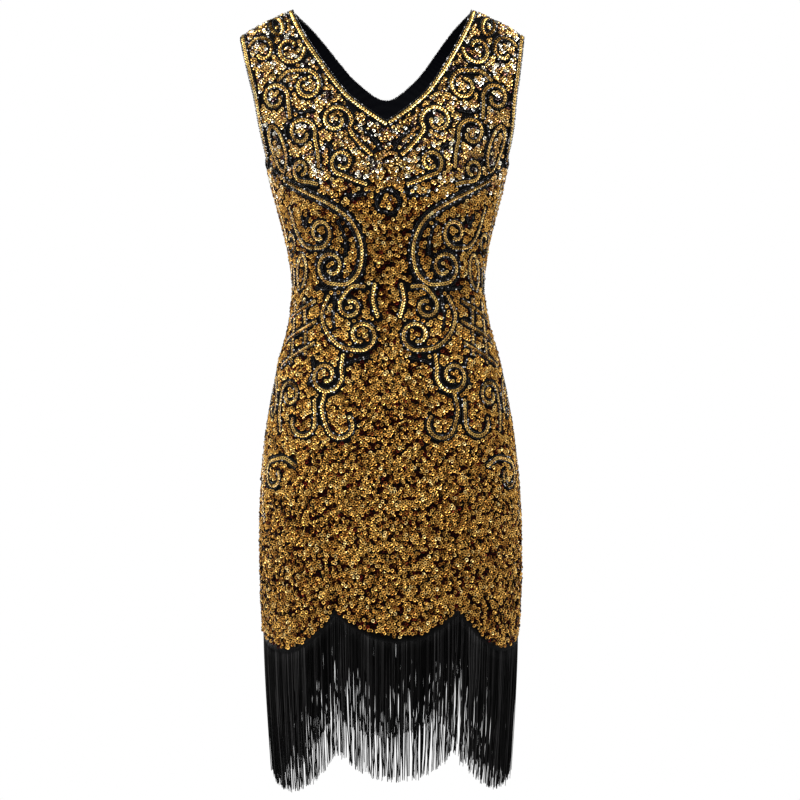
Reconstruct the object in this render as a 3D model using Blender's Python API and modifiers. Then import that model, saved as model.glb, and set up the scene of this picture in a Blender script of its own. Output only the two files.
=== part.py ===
# Sleeveless flapper dress: a V neck, a shaped tube body, a scalloped hem and a long fringe.
# It is filled out as if worn, and hangs from the shoulders. Metres, +Z up, the front faces -Y.
# The origin lies midway between the two shoulder seams, at the height of their neck ends.

import math
import random

import bmesh
import bpy
from mathutils import Vector

# Cloth and seams
WALL = 0.0020
SEAM_GAP = 0.0007  # between the outer faces, so that the inner edges of the walls come 0.3 mm apart
LINING_WALL = 0.0010
LINING_CLEARANCE = 0.0005
LINING_BOTTOM = -0.270
LINING_EDGE_SHARE = 0.35

# Where the front and back panels change from tube to straps
UNDERARM = -0.194
HEM_ZONE_TOP = -0.700
RIDGE = 0.0

# The body of the dress in level sections. Below the underarm a level is a height. Above it the
# sections climb over the shoulders: height is where the section would cross the middle of the
# dress, and shoulder_drop bends it down by that many metres for each square metre sideways.
SECTION_COLUMNS = (
    "level", "height", "half_width", "front_depth", "back_depth", "sway", "turn_deg", "shoulder_drop"
)
SECTIONS = (
    (-0.830, -0.830, 0.1560, 0.1060, 0.1060, 0.0108, 5.2, 0.00),
    (-0.780, -0.780, 0.1600, 0.1090, 0.1100, 0.0110, 5.0, 0.00),
    (-0.720, -0.720, 0.1630, 0.1115, 0.1145, 0.0109, 4.2, 0.00),
    (-0.660, -0.660, 0.1635, 0.1120, 0.1175, 0.0104, 3.2, 0.00),
    (-0.600, -0.600, 0.1615, 0.1100, 0.1180, 0.0101, 2.2, 0.00),
    (-0.540, -0.540, 0.1562, 0.1055, 0.1120, 0.0093, 1.2, 0.00),
    (-0.490, -0.490, 0.1488, 0.0985, 0.1010, 0.0090, 0.3, 0.00),
    (-0.440, -0.440, 0.1380, 0.0910, 0.0885, 0.0088, 0.0, 0.00),
    (-0.400, -0.400, 0.1268, 0.0860, 0.0790, 0.0085, 0.0, 0.00),
    (-0.356, -0.356, 0.1200, 0.0860, 0.0755, 0.0075, 0.0, 0.00),
    (-0.310, -0.310, 0.1235, 0.0945, 0.0800, 0.0069, 0.0, 0.00),
    (-0.270, -0.270, 0.1322, 0.1035, 0.0860, 0.0066, 0.0, 0.00),
    (-0.230, -0.230, 0.1428, 0.1075, 0.0920, 0.0062, 0.0, 0.00),
    (-0.194, -0.194, 0.1520, 0.1055, 0.0945, 0.0060, 0.0, 0.00),
    (-0.184, -0.180, 0.1572, 0.1035, 0.0942, 0.0060, 0.0, 0.08),
    (-0.165, -0.153, 0.1700, 0.0990, 0.0925, 0.0058, 0.0, 0.30),
    (-0.135, -0.110, 0.1860, 0.0890, 0.0870, 0.0045, 0.0, 0.70),
    (-0.105, -0.067, 0.1970, 0.0775, 0.0790, 0.0030, 0.0, 1.05),
    (-0.075, -0.031, 0.2020, 0.0650, 0.0670, 0.0015, 0.0, 1.35),
    (-0.045, -0.003, 0.2040, 0.0490, 0.0500, 0.0005, 0.0, 1.58),
    (-0.025, 0.0125, 0.2050, 0.0345, 0.0350, 0.0000, 0.0, 1.69),
    (-0.010, 0.0203, 0.2050, 0.0175, 0.0180, 0.0000, 0.0, 1.745),
    (0.000, 0.0222, 0.2050, 0.0000, 0.0000, 0.0000, 0.0, 1.754),
)

# Edges of the neck and the armholes, as half widths at heights. The shoulder seam runs between them.
EDGE_COLUMNS = ("height", "half_width")
NECK_FRONT = (
    (-0.150, 0.0), (-0.138, 0.0175), (-0.126, 0.0330), (-0.112, 0.0480), (-0.091, 0.0640),
    (-0.066, 0.0800), (-0.044, 0.0930), (-0.021, 0.1045), (0.0, 0.1125),
)
NECK_BACK = (
    (-0.102, 0.0), (-0.098, 0.0130), (-0.090, 0.0250), (-0.075, 0.0420), (-0.060, 0.0550),
    (-0.046, 0.0660), (-0.030, 0.0790), (-0.016, 0.0920), (-0.005, 0.1050), (0.0, 0.1125),
)
ARMHOLE = (
    (-0.194, 0.1520), (-0.186, 0.1506), (-0.172, 0.1535), (-0.150, 0.1578), (-0.115, 0.1625),
    (-0.085, 0.1685), (-0.055, 0.1740), (-0.033, 0.1775),
)

# Bust shaping that the darts give
BUST_RISE = 0.0095
BUST_SIDE = 0.068
BUST_HEIGHT = -0.232
BUST_SPREAD_X = 0.048
BUST_SPREAD_Z = 0.050

# Scalloped hem from the middle to a side seam: the foot of a scallop, then the peak beside it
HEM_COLUMNS = ("angle_deg", "height")
FRONT_HEM = ((0.0, -0.7770), (27.7, -0.7440), (58.8, -0.7940), (90.0, -0.7760))
BACK_HEM = ((0.0, -0.7500), (27.0, -0.7220), (58.5, -0.7860), (90.0, -0.7760))
HEM_LEVEL = -0.790

# Grid of each panel: columns in half a panel, rows in the yoke, and its edges and fringe strands
PANEL_COLUMNS = ("columns", "yoke_rows", "neck", "hem", "strands")
PANELS = {
    "front": dict(zip(PANEL_COLUMNS, (13, 3, NECK_FRONT, FRONT_HEM, 84))),
    "back": dict(zip(PANEL_COLUMNS, (10, 5, NECK_BACK, BACK_HEM, 76))),
}
HEM_ROWS, BODY_ROWS, STRAP_ROWS = 4, 16, 11

# The longest soft folds of the hanging cloth
FOLD_COLUMNS = ("side", "angle_deg", "height", "half_length", "half_width", "depth", "slant")
FOLDS = (
    ("front", -64.0, -0.735, 0.085, 0.017, 0.0036, 0.10),
    ("front", -22.0, -0.690, 0.100, 0.020, 0.0024, 0.25),
    ("front", 26.0, -0.700, 0.080, 0.019, 0.0026, -0.20),
    ("front", 66.0, -0.720, 0.110, 0.017, 0.0038, -0.05),
    ("front", -58.0, -0.430, 0.060, 0.020, 0.0026, 0.55),
    ("front", 60.0, -0.415, 0.055, 0.020, 0.0026, -0.50),
    ("back", -55.0, -0.700, 0.100, 0.021, 0.0040, 0.12),
    ("back", 8.0, -0.690, 0.120, 0.024, 0.0036, 0.05),
    ("back", 50.0, -0.720, 0.090, 0.021, 0.0038, -0.15),
    ("back", -35.0, -0.380, 0.050, 0.022, 0.0030, 0.60),
    ("back", 38.0, -0.390, 0.060, 0.022, 0.0030, -0.45),
)

# Trim sewn along the neck and armholes
TRIM_WIDTH = 0.0050
TRIM_THICK = 0.0008
TRIM_LIFT = 0.0003
TRIM_INSET = 0.0006

# Fringe: strands that hang from a narrow heading tape just under the hem
FRINGE_LENGTH = 0.178
HEADING_HEIGHT = 0.008
HEADING_THICK = 0.0016
HEADING_GAP = 0.0003
STRAND_WIDTH = 0.0023
STRAND_STEPS = (0.5, 1.0)
STRAND_SWAY = 0.0009
STRAND_RAGGED = 0.0045
FRINGE_DRAW_IN = 0.0120
FRINGE_SEED = 7

# Colours, roughness and metallic value
SEQUIN_GOLD = (0.48, 0.29, 0.07, 1.0)
TRIM_GOLD = (0.62, 0.43, 0.14, 1.0)
CLOTH_BLACK = (0.012, 0.012, 0.014, 1.0)


def smooth_table(rows, at, column):
    """One column of a table at a place along its first column, by cubic steps through its rows."""
    at = min(max(at, rows[0][0]), rows[-1][0])
    last = len(rows) - 1
    i = next(k for k in range(last) if at <= rows[k + 1][0])

    def slope(k):
        low, high = max(k - 1, 0), min(k + 1, last)
        return (rows[high][column] - rows[low][column]) / (rows[high][0] - rows[low][0])

    span = rows[i + 1][0] - rows[i][0]
    t = (at - rows[i][0]) / span
    start, end = rows[i][column], rows[i + 1][column]
    return (
        start * (1 + 2 * t) * (1 - t) ** 2
        + end * t * t * (3 - 2 * t)
        + slope(i) * span * t * (1 - t) ** 2
        - slope(i + 1) * span * t * t * (1 - t)
    )


def section(level):
    """The section at a level, as a dictionary of the table's columns."""
    return {name: smooth_table(SECTIONS, level, k) for k, name in enumerate(SECTION_COLUMNS)}


def row_height(cut, x):
    """Height of a section's point that lies x to the side of its middle."""
    return cut["height"] - cut["shoulder_drop"] * x * x


def edge_angle(cut, edge):
    """Angle from the front or back middle at which a section meets an edge table's curve."""
    low, high = 0.0, cut["half_width"]
    for _ in range(40):
        x = (low + high) / 2
        if smooth_table(edge, row_height(cut, x), 1) > x:
            low = x
        else:
            high = x
    return math.asin(min(1.0, low / cut["half_width"]))


def level_of_height(height):
    """The level whose section crosses the middle of the dress at a height."""
    low, high = UNDERARM, RIDGE
    for _ in range(40):
        middle = (low + high) / 2
        if section(middle)["height"] < height:
            low = middle
        else:
            high = middle
    return low


def bell(value, spread):
    return math.exp(-0.5 * (value / spread) ** 2)


def fold_depth(side, angle_deg, height, half_width):
    """How far the soft folds push the cloth in at a place."""
    depth = 0.0
    for fold in FOLDS:
        row = dict(zip(FOLD_COLUMNS, fold))
        if row["side"] == side:
            down = height - row["height"]
            across = math.radians(angle_deg - row["angle_deg"]) * half_width - row["slant"] * down
            depth += row["depth"] * bell(across, row["half_width"]) * bell(down, row["half_length"])
    return depth


def bust(x, height):
    """How far the bust shaping stands out."""
    across = bell(x - BUST_SIDE, BUST_SPREAD_X) + bell(x + BUST_SIDE, BUST_SPREAD_X)
    return BUST_RISE * across * bell(height - BUST_HEIGHT, BUST_SPREAD_Z)


def cloth_point(side, level, angle, height=None, folded=True):
    """A point of the outer cloth. The angle runs from the middle of the side to +X."""
    cut = section(level)
    x = cut["half_width"] * math.sin(angle)
    z = row_height(cut, x) if height is None else height
    depth = cut[side + "_depth"] * math.cos(angle)
    if side == "front":
        depth += bust(x, z) * math.cos(angle) ** 2
    if folded:
        depth -= fold_depth(side, math.degrees(angle), z, cut["half_width"]) * math.cos(angle)
    y = (depth + SEAM_GAP / 2) * (-1 if side == "front" else 1)
    turn = math.radians(cut["turn_deg"])
    turned_x = x * math.cos(turn) - y * math.sin(turn)
    turned_y = x * math.sin(turn) + y * math.cos(turn)
    return Vector((turned_x + cut["sway"], turned_y, z))


def hem_height(side, angle):
    """Height of the scalloped edge at an angle."""
    rows = PANELS[side]["hem"]
    away = min(abs(math.degrees(angle)), 90.0)
    k = next(k for k in range(len(rows) - 1) if away <= rows[k + 1][0] + 1e-9)
    (foot, low), (tip, high) = (rows[k], rows[k + 1]) if k % 2 == 0 else (rows[k + 1], rows[k])
    share = (away - foot) / (tip - foot)
    return low + (high - low) * share * share


def panel_levels(side):
    """Levels of a panel's rows above the hem zone, up to the shoulder seam."""
    neck = level_of_height(PANELS[side]["neck"][0][0])
    yoke_rows = PANELS[side]["yoke_rows"]
    body = [HEM_ZONE_TOP + (UNDERARM - HEM_ZONE_TOP) * k / BODY_ROWS for k in range(BODY_ROWS + 1)]
    yoke = [UNDERARM + (neck - UNDERARM) * (k / yoke_rows) ** 1.5 for k in range(1, yoke_rows + 1)]
    strap = [neck * (1 - k / STRAP_ROWS) ** 1.25 for k in range(1, STRAP_ROWS + 1)]
    return body, yoke, strap


def half_places(side, hand):
    """Level and angle of each point over half a panel, rows from inner edge to outer edge."""
    columns, neck = PANELS[side]["columns"], PANELS[side]["neck"]
    body, yoke, strap = panel_levels(side)
    rows = []
    for k in range(HEM_ROWS):
        row = []
        for j in range(columns + 1):
            angle = hand * math.pi / 2 * j / columns
            hem = hem_height(side, angle)
            row.append((hem + (HEM_ZONE_TOP - hem) * k / HEM_ROWS, angle))
        rows.append(row)
    for level in body + yoke + strap:
        cut = section(level)
        outer = math.pi / 2 if level <= UNDERARM else edge_angle(cut, ARMHOLE)
        inner = edge_angle(cut, neck) if level in strap else 0.0
        angles = [inner + (outer - inner) * j / columns for j in range(columns + 1)]
        rows.append([(level, hand * angle) for angle in angles])
    return rows


def half_rows(side, hand):
    """Rows of points over half a panel."""
    return [[cloth_point(side, *place) for place in row] for row in half_places(side, hand)]


def cloth_normal(side, level, angle):
    """Outward direction of the cloth at a place."""
    step = 1e-4
    along = cloth_point(side, level, angle + step) - cloth_point(side, level, angle - step)
    above = cloth_point(side, min(level + step, RIDGE), angle)
    upward = above - cloth_point(side, level - step, angle)
    return along.cross(upward).normalized() * (1 if side == "front" else -1)


def material(name, colour, roughness, metallic):
    made = bpy.data.materials.new(name)
    made.use_nodes = True
    shader = made.node_tree.nodes["Principled BSDF"]
    shader.inputs["Base Color"].default_value = colour
    shader.inputs["Roughness"].default_value = roughness
    shader.inputs["Metallic"].default_value = metallic
    made.diffuse_color = colour
    return made


def add_object(name, mesh_data, finish, collection):
    made = bpy.data.objects.new(name, mesh_data)
    made.data.materials.append(finish)
    collection.objects.link(made)
    return made


def sheet_mesh(name, sheets, facing):
    """An open mesh of point grids that share their equal points, with its faces turned to facing."""
    work = bmesh.new()
    for grid in sheets:
        corners = [[work.verts.new(point) for point in row] for row in grid]
        for low, high in zip(corners, corners[1:]):
            for j in range(len(low) - 1):
                work.faces.new((low[j], low[j + 1], high[j + 1], high[j]))
    bmesh.ops.remove_doubles(work, verts=work.verts, dist=1e-6)
    bmesh.ops.recalc_face_normals(work, faces=work.faces)
    work.faces.ensure_lookup_table()
    widest = max(work.faces, key=lambda face: facing(face.calc_center_median()).length)
    if widest.normal.dot(facing(widest.calc_center_median())) < 0:
        bmesh.ops.reverse_faces(work, faces=work.faces)
    made = bpy.data.meshes.new(name)
    work.to_mesh(made)
    work.free()
    made.shade_smooth()
    return made


def outward(point):
    """Level direction from the middle of the dress to a point."""
    return Vector((point.x, point.y, 0.0))


def add_wall(made, thickness, offset):
    wall = made.modifiers.new("Wall", "SOLIDIFY")
    wall.thickness = thickness
    wall.offset = offset


def build_panel(side, finish, collection):
    """Front or back of the dress, from side seam to side seam and hem to shoulder seams."""
    mesh = sheet_mesh(side + "_panel", [half_rows(side, 1), half_rows(side, -1)], outward)
    made = add_object(side + "_panel", mesh, finish, collection)
    add_wall(made, WALL, -1.0)
    return made


def build_back_lining(finish, collection):
    """Black lining inside the back, from the neck down to just under the armholes."""
    halves = []
    for hand in (1, -1):
        rows = []
        for row in half_places("back", hand)[:-1]:
            if row[0][0] >= LINING_BOTTOM:
                line = []
                for level, angle in row:
                    inward = cloth_normal("back", level, angle) * (WALL + LINING_CLEARANCE)
                    line.append(cloth_point("back", level, angle) - inward)
                line[-1] = line[-1].lerp(line[-2], LINING_EDGE_SHARE)
                rows.append(line)
        halves.append(rows)
    made = add_object("back_lining", sheet_mesh("back_lining", halves, outward), finish, collection)
    add_wall(made, LINING_WALL, -1.0)


def edge_strip(points, normals, cyclic):
    """Two lines of points inside a cloth edge, lifted off it and mitred where the edge turns."""
    near, far = [], []
    count = len(points)
    for i, point in enumerate(points):
        before = points[i - 1] if i or cyclic else point
        after = points[(i + 1) % count] if i < count - 1 or cyclic else point
        normal = normals[i]
        along = (after - before).normalized()
        inward = normal.cross(along).normalized()
        piece = (after - point if i < count - 1 or cyclic else point - before).normalized()
        square = max(0.5, inward.dot(normal.cross(piece).normalized()))
        base = point + normal * TRIM_LIFT
        near.append(base + inward * TRIM_INSET / square)
        far.append(base + inward * (TRIM_INSET + TRIM_WIDTH) / square)
    if cyclic:
        near.append(near[0].copy())
        far.append(far[0].copy())
    return [near, far]


def build_trim(name, points, normals, cyclic, finish, collection):
    def away(point):
        nearest = min(range(len(points)), key=lambda i: (points[i] - point).length)
        return normals[nearest]

    mesh = sheet_mesh(name, [edge_strip(points, normals, cyclic)], away)
    made = add_object(name, mesh, finish, collection)
    add_wall(made, TRIM_THICK, 1.0)


def build_neck_trims(finish, collection):
    """One row along the front V and one along the back neck, ending at the shoulder seams."""
    for side in ("front", "back"):
        line = []
        for hand in (-1, 1):
            half = [row[0] for row in half_places(side, hand)[-STRAP_ROWS - 1:]]
            line += half[::-1] if hand < 0 else half[1:]
        if side == "back":
            line = line[::-1]
        points = [cloth_point(side, *place) for place in line]
        normals = [cloth_normal(side, *place) for place in line]
        build_trim("neck_trim_" + side, points, normals, False, finish, collection)


def build_armhole_trims(finish, collection):
    """One closed row round each armhole."""
    for hand, name in ((-1, "right"), (1, "left")):
        points, normals = [], []
        for side in ("front", "back"):
            line = [row[-1] for row in half_places(side, hand)[HEM_ROWS + BODY_ROWS:]]
            if side == "back":
                line = line[::-1]
            points += [cloth_point(side, *place) for place in line]
            normals += [cloth_normal(side, *place) for place in line]
        if hand > 0:
            points, normals = points[::-1], normals[::-1]
        build_trim("armhole_trim_" + name, points, normals, True, finish, collection)


def heading_frame(side, angle):
    """Hem point, level outward direction and level sideways direction at an angle."""
    height = hem_height(side, angle)
    point = cloth_point(side, height, angle)
    step = 1e-3
    ahead = cloth_point(side, height, angle + step, height)
    behind = cloth_point(side, height, angle - step, height)
    along = Vector((ahead.x - behind.x, ahead.y - behind.y, 0.0)).normalized()
    away = Vector((along.y, -along.x, 0.0))
    if away.dot(outward(point)) < 0:
        away.negate()
    return point, away, along


def even_angles(side, count):
    """Angles that divide the hem of a panel into equal lengths, side seam to side seam."""
    fine = 400
    angles = [math.pi * (k / fine - 0.5) for k in range(fine + 1)]
    level = HEM_LEVEL
    points = [cloth_point(side, level, angle, level) for angle in angles]
    lengths = [0.0]
    for a, b in zip(points, points[1:]):
        lengths.append(lengths[-1] + (b - a).length)
    found = []
    k = 0
    for n in range(count + 1):
        goal = lengths[-1] * n / count
        while k < fine - 1 and lengths[k + 1] < goal:
            k += 1
        share = (goal - lengths[k]) / (lengths[k + 1] - lengths[k])
        found.append(angles[k] + (angles[k + 1] - angles[k]) * share)
    return found


def strand_rings(root, away, along, ragged):
    """Corner rings down one strand, from the four corners of its root."""
    centre = sum(root, Vector()) / 4
    length = FRINGE_LENGTH - HEADING_HEIGHT - ragged.uniform(0, STRAND_RAGGED)
    drift = ragged.uniform(-STRAND_SWAY, STRAND_SWAY)
    rings = []
    for step in STRAND_STEPS:
        move = along * drift * step - away * FRINGE_DRAW_IN * step ** 1.3
        drop = Vector((0.0, 0.0, centre.z - length * step))
        taper = 1.0 - 0.25 * step
        ring = []
        for corner in root:
            level = Vector((corner.x - centre.x, corner.y - centre.y, 0.0)) * taper
            ring.append(Vector((centre.x, centre.y, 0.0)) + level + move + drop)
        rings.append(ring)
    return rings


def build_fringe(side, finish, collection):
    """Heading tape under the scalloped edge with its hanging strands, as one comb."""
    count = PANELS[side]["strands"]
    ragged = random.Random(FRINGE_SEED + count)
    bounds = even_angles(side, count)
    work = bmesh.new()
    posts = []
    for n in range(count):
        low, high = bounds[n], bounds[n + 1]
        pitch = (cloth_point(side, HEM_LEVEL, high) - cloth_point(side, HEM_LEVEL, low)).length
        half = STRAND_WIDTH / pitch / 2
        for share in (0.5 - half, 0.5 + half):
            angle = low + (high - low) * share
            point, away, along = heading_frame(side, angle)
            top = point.z - HEADING_GAP
            base = top - HEADING_HEIGHT
            inner = point - away * HEADING_THICK
            posts.append((
                [
                    work.verts.new((point.x, point.y, top)),
                    work.verts.new((inner.x, inner.y, top)),
                    work.verts.new((inner.x, inner.y, base)),
                    work.verts.new((point.x, point.y, base)),
                ],
                away,
                along,
            ))
    for n, ((a, away, along), (b, _, _)) in enumerate(zip(posts, posts[1:])):
        for corner in range(3):
            if corner != 2:
                work.faces.new((a[corner], a[corner + 1], b[corner + 1], b[corner]))
        work.faces.new((a[3], a[0], b[0], b[3]))
        if n % 2:
            work.faces.new((a[2], a[3], b[3], b[2]))
            continue
        ring = [a[2], a[3], b[3], b[2]]
        for points in strand_rings([v.co.copy() for v in ring], away, along, ragged):
            lower = [work.verts.new(point) for point in points]
            for k in range(4):
                work.faces.new((ring[k], ring[(k + 1) % 4], lower[(k + 1) % 4], lower[k]))
            ring = lower
        work.faces.new(ring)
    work.faces.new(posts[0][0])
    work.faces.new(posts[-1][0][::-1])
    bmesh.ops.recalc_face_normals(work, faces=work.faces)
    mesh = bpy.data.meshes.new("fringe_" + side)
    work.to_mesh(mesh)
    work.free()
    add_object("fringe_" + side, mesh, finish, collection)


def clear_scene():
    for old in list(bpy.data.objects):
        bpy.data.objects.remove(old, do_unlink=True)


def build_dress():
    clear_scene()
    collection = bpy.data.collections.new("Flapper dress")
    bpy.context.scene.collection.children.link(collection)
    sequins = material("Gold sequin cloth", SEQUIN_GOLD, 0.35, 0.8)
    trim = material("Sequin row", TRIM_GOLD, 0.30, 0.9)
    lining = material("Black lining", CLOTH_BLACK, 0.75, 0.0)
    fringe = material("Black fringe", CLOTH_BLACK, 0.55, 0.0)
    build_panel("front", sequins, collection)
    build_panel("back", sequins, collection)
    build_back_lining(lining, collection)
    build_neck_trims(trim, collection)
    build_armhole_trims(trim, collection)
    build_fringe("front", fringe, collection)
    build_fringe("back", fringe, collection)


build_dress()
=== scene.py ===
import math

import bpy
import numpy as np
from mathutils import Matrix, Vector
from mathutils.kdtree import KDTree


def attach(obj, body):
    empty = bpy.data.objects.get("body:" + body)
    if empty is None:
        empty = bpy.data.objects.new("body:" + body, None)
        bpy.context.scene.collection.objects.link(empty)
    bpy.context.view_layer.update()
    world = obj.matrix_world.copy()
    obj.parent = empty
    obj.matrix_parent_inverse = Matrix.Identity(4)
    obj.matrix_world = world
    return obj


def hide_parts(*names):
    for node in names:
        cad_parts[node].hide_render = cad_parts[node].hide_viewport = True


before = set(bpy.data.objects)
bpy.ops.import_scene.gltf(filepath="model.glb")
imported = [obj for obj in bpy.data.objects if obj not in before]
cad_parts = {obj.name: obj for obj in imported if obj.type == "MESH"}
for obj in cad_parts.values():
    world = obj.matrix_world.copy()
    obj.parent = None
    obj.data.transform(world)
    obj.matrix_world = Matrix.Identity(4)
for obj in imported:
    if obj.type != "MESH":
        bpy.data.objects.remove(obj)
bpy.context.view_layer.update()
bpy.ops.object.select_all(action="DESELECT")


# Front and back of the dress: fine black stretch mesh, cut as two pieces, shaped by darts and
# sewn at the sides and shoulders. It is filled out as if worn, so it is lofted from sections of
# the body, and the sequins, beads and fringe further on are all sewn to this same surface.
SECTION_COLUMNS = (
    "level", "height", "half_width", "front_depth", "back_depth", "sway", "turn_deg", "shoulder_drop"
)
SECTIONS = np.array((
    (-0.830, -0.830, 0.1560, 0.1060, 0.1060, 0.0108, 5.2, 0.00),
    (-0.780, -0.780, 0.1600, 0.1090, 0.1100, 0.0110, 5.0, 0.00),
    (-0.720, -0.720, 0.1630, 0.1115, 0.1145, 0.0109, 4.2, 0.00),
    (-0.660, -0.660, 0.1635, 0.1120, 0.1175, 0.0104, 3.2, 0.00),
    (-0.600, -0.600, 0.1615, 0.1100, 0.1180, 0.0101, 2.2, 0.00),
    (-0.540, -0.540, 0.1562, 0.1055, 0.1120, 0.0093, 1.2, 0.00),
    (-0.490, -0.490, 0.1488, 0.0985, 0.1010, 0.0090, 0.3, 0.00),
    (-0.440, -0.440, 0.1380, 0.0910, 0.0885, 0.0088, 0.0, 0.00),
    (-0.400, -0.400, 0.1268, 0.0860, 0.0790, 0.0085, 0.0, 0.00),
    (-0.356, -0.356, 0.1200, 0.0860, 0.0755, 0.0075, 0.0, 0.00),
    (-0.310, -0.310, 0.1235, 0.0945, 0.0800, 0.0069, 0.0, 0.00),
    (-0.270, -0.270, 0.1322, 0.1035, 0.0860, 0.0066, 0.0, 0.00),
    (-0.230, -0.230, 0.1428, 0.1075, 0.0920, 0.0062, 0.0, 0.00),
    (-0.194, -0.194, 0.1520, 0.1055, 0.0945, 0.0060, 0.0, 0.00),
    (-0.184, -0.180, 0.1572, 0.1035, 0.0942, 0.0060, 0.0, 0.08),
    (-0.165, -0.153, 0.1700, 0.0990, 0.0925, 0.0058, 0.0, 0.30),
    (-0.135, -0.110, 0.1860, 0.0890, 0.0870, 0.0045, 0.0, 0.70),
    (-0.105, -0.067, 0.1970, 0.0775, 0.0790, 0.0030, 0.0, 1.05),
    (-0.075, -0.031, 0.2020, 0.0650, 0.0670, 0.0015, 0.0, 1.35),
    (-0.045, -0.003, 0.2040, 0.0490, 0.0500, 0.0005, 0.0, 1.58),
    (-0.025, 0.0125, 0.2050, 0.0345, 0.0350, 0.0000, 0.0, 1.69),
    (-0.010, 0.0203, 0.2050, 0.0175, 0.0180, 0.0000, 0.0, 1.745),
    (0.000, 0.0222, 0.2050, 0.0000, 0.0000, 0.0000, 0.0, 1.754),
))
UNDERARM = -0.194
HEM_ZONE_TOP = -0.700
SIDES = ("front", "back")
FACING = {"front": 1, "back": -1}

# Half widths of the neck and armhole edges, at heights
NECK = {
    "front": np.array((
        (-0.150, 0.0), (-0.138, 0.0175), (-0.126, 0.0330), (-0.112, 0.0480), (-0.091, 0.0640),
        (-0.066, 0.0800), (-0.044, 0.0930), (-0.021, 0.1045), (0.0, 0.1125),
    )),
    "back": np.array((
        (-0.1022, 0.0), (-0.1016, 0.0060), (-0.0996, 0.0110), (-0.096, 0.0165), (-0.090, 0.0250),
        (-0.075, 0.0420), (-0.060, 0.0550), (-0.046, 0.0660), (-0.030, 0.0790), (-0.016, 0.0920),
        (-0.005, 0.1050), (0.0, 0.1125),
    )),
}
ARMHOLE = np.array((
    (-0.194, 0.1520), (-0.186, 0.1506), (-0.172, 0.1535), (-0.150, 0.1578), (-0.115, 0.1625),
    (-0.085, 0.1685), (-0.055, 0.1740), (-0.033, 0.1775),
))

# Scalloped hem from the middle to a side seam, in degrees round the body and heights: the foot
# of a scallop, then the peak beside it
HEM = {
    "front": ((0.0, -0.7770), (27.7, -0.7440), (58.8, -0.7940), (90.0, -0.7760)),
    "back": ((0.0, -0.7500), (27.0, -0.7220), (58.5, -0.7860), (90.0, -0.7760)),
}

# Soft folds of the hanging cloth on each side: the longest ones, then lesser creases between them
FOLD_COLUMNS = ("angle_deg", "height", "half_length", "half_width", "depth", "slant")
FOLDS = {
    "front": (
        (-64.0, -0.735, 0.085, 0.017, 0.0036, 0.10),
        (-22.0, -0.690, 0.100, 0.020, 0.0024, 0.25),
        (26.0, -0.700, 0.080, 0.019, 0.0026, -0.20),
        (66.0, -0.720, 0.110, 0.017, 0.0038, -0.05),
        (-58.0, -0.430, 0.060, 0.020, 0.0026, 0.55),
        (60.0, -0.415, 0.055, 0.020, 0.0026, -0.50),
        (-40.0, -0.330, 0.030, 0.012, 0.0014, 1.40),
        (44.0, -0.345, 0.030, 0.012, 0.0014, -1.30),
        (-70.0, -0.245, 0.028, 0.012, 0.0016, 1.10),
        (68.0, -0.240, 0.030, 0.012, 0.0016, -1.15),
        (-44.0, -0.640, 0.070, 0.014, 0.0015, 0.05),
        (46.0, -0.620, 0.080, 0.014, 0.0015, 0.02),
        (4.0, -0.735, 0.050, 0.013, 0.0014, 0.08),
    ),
    "back": (
        (-55.0, -0.700, 0.100, 0.021, 0.0040, 0.12),
        (8.0, -0.690, 0.120, 0.024, 0.0036, 0.05),
        (50.0, -0.720, 0.090, 0.021, 0.0038, -0.15),
        (-35.0, -0.380, 0.050, 0.022, 0.0030, 0.60),
        (38.0, -0.390, 0.060, 0.022, 0.0030, -0.45),
        (-15.0, -0.345, 0.030, 0.012, 0.0014, 1.60),
        (18.0, -0.340, 0.032, 0.012, 0.0014, -1.50),
        (-66.0, -0.250, 0.030, 0.013, 0.0016, 1.00),
        (64.0, -0.245, 0.030, 0.013, 0.0016, -1.00),
        (-24.0, -0.640, 0.080, 0.015, 0.0016, 0.05),
        (30.0, -0.630, 0.070, 0.015, 0.0016, -0.03),
    ),
}
BUST_RISE, BUST_SIDE, BUST_HEIGHT = 0.0095, 0.068, -0.232
BUST_SPREAD_X, BUST_SPREAD_Z = 0.048, 0.050


def along_table(rows, at, column):
    """A table's column at places along its first column, by cubic steps between its rows."""
    x, y = rows[:, 0], rows[:, column]
    slope = np.gradient(y)
    slope[1:-1] = (y[2:] - y[:-2]) / (x[2:] - x[:-2])
    slope[0] = (y[1] - y[0]) / (x[1] - x[0])
    slope[-1] = (y[-1] - y[-2]) / (x[-1] - x[-2])
    at = np.clip(at, x[0], x[-1])
    i = np.clip(np.searchsorted(x, at) - 1, 0, len(x) - 2)
    span = x[i + 1] - x[i]
    t = (at - x[i]) / span
    return (
        y[i] * (1 + 2 * t) * (1 - t) ** 2
        + y[i + 1] * t * t * (3 - 2 * t)
        + slope[i] * span * t * (1 - t) ** 2
        - slope[i + 1] * span * t * t * (1 - t)
    )


def section(level):
    """The sections at some levels, as a dictionary of the table's columns."""
    return {name: along_table(SECTIONS, level, k) for k, name in enumerate(SECTION_COLUMNS)}


def height_at(cut, x):
    """Height of some sections at distances from their middle."""
    return cut["height"] - cut["shoulder_drop"] * x * x


def bell(value, spread):
    """A smooth bump, 1 high, about zero."""
    return np.exp(-0.5 * (value / spread) ** 2)


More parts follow.
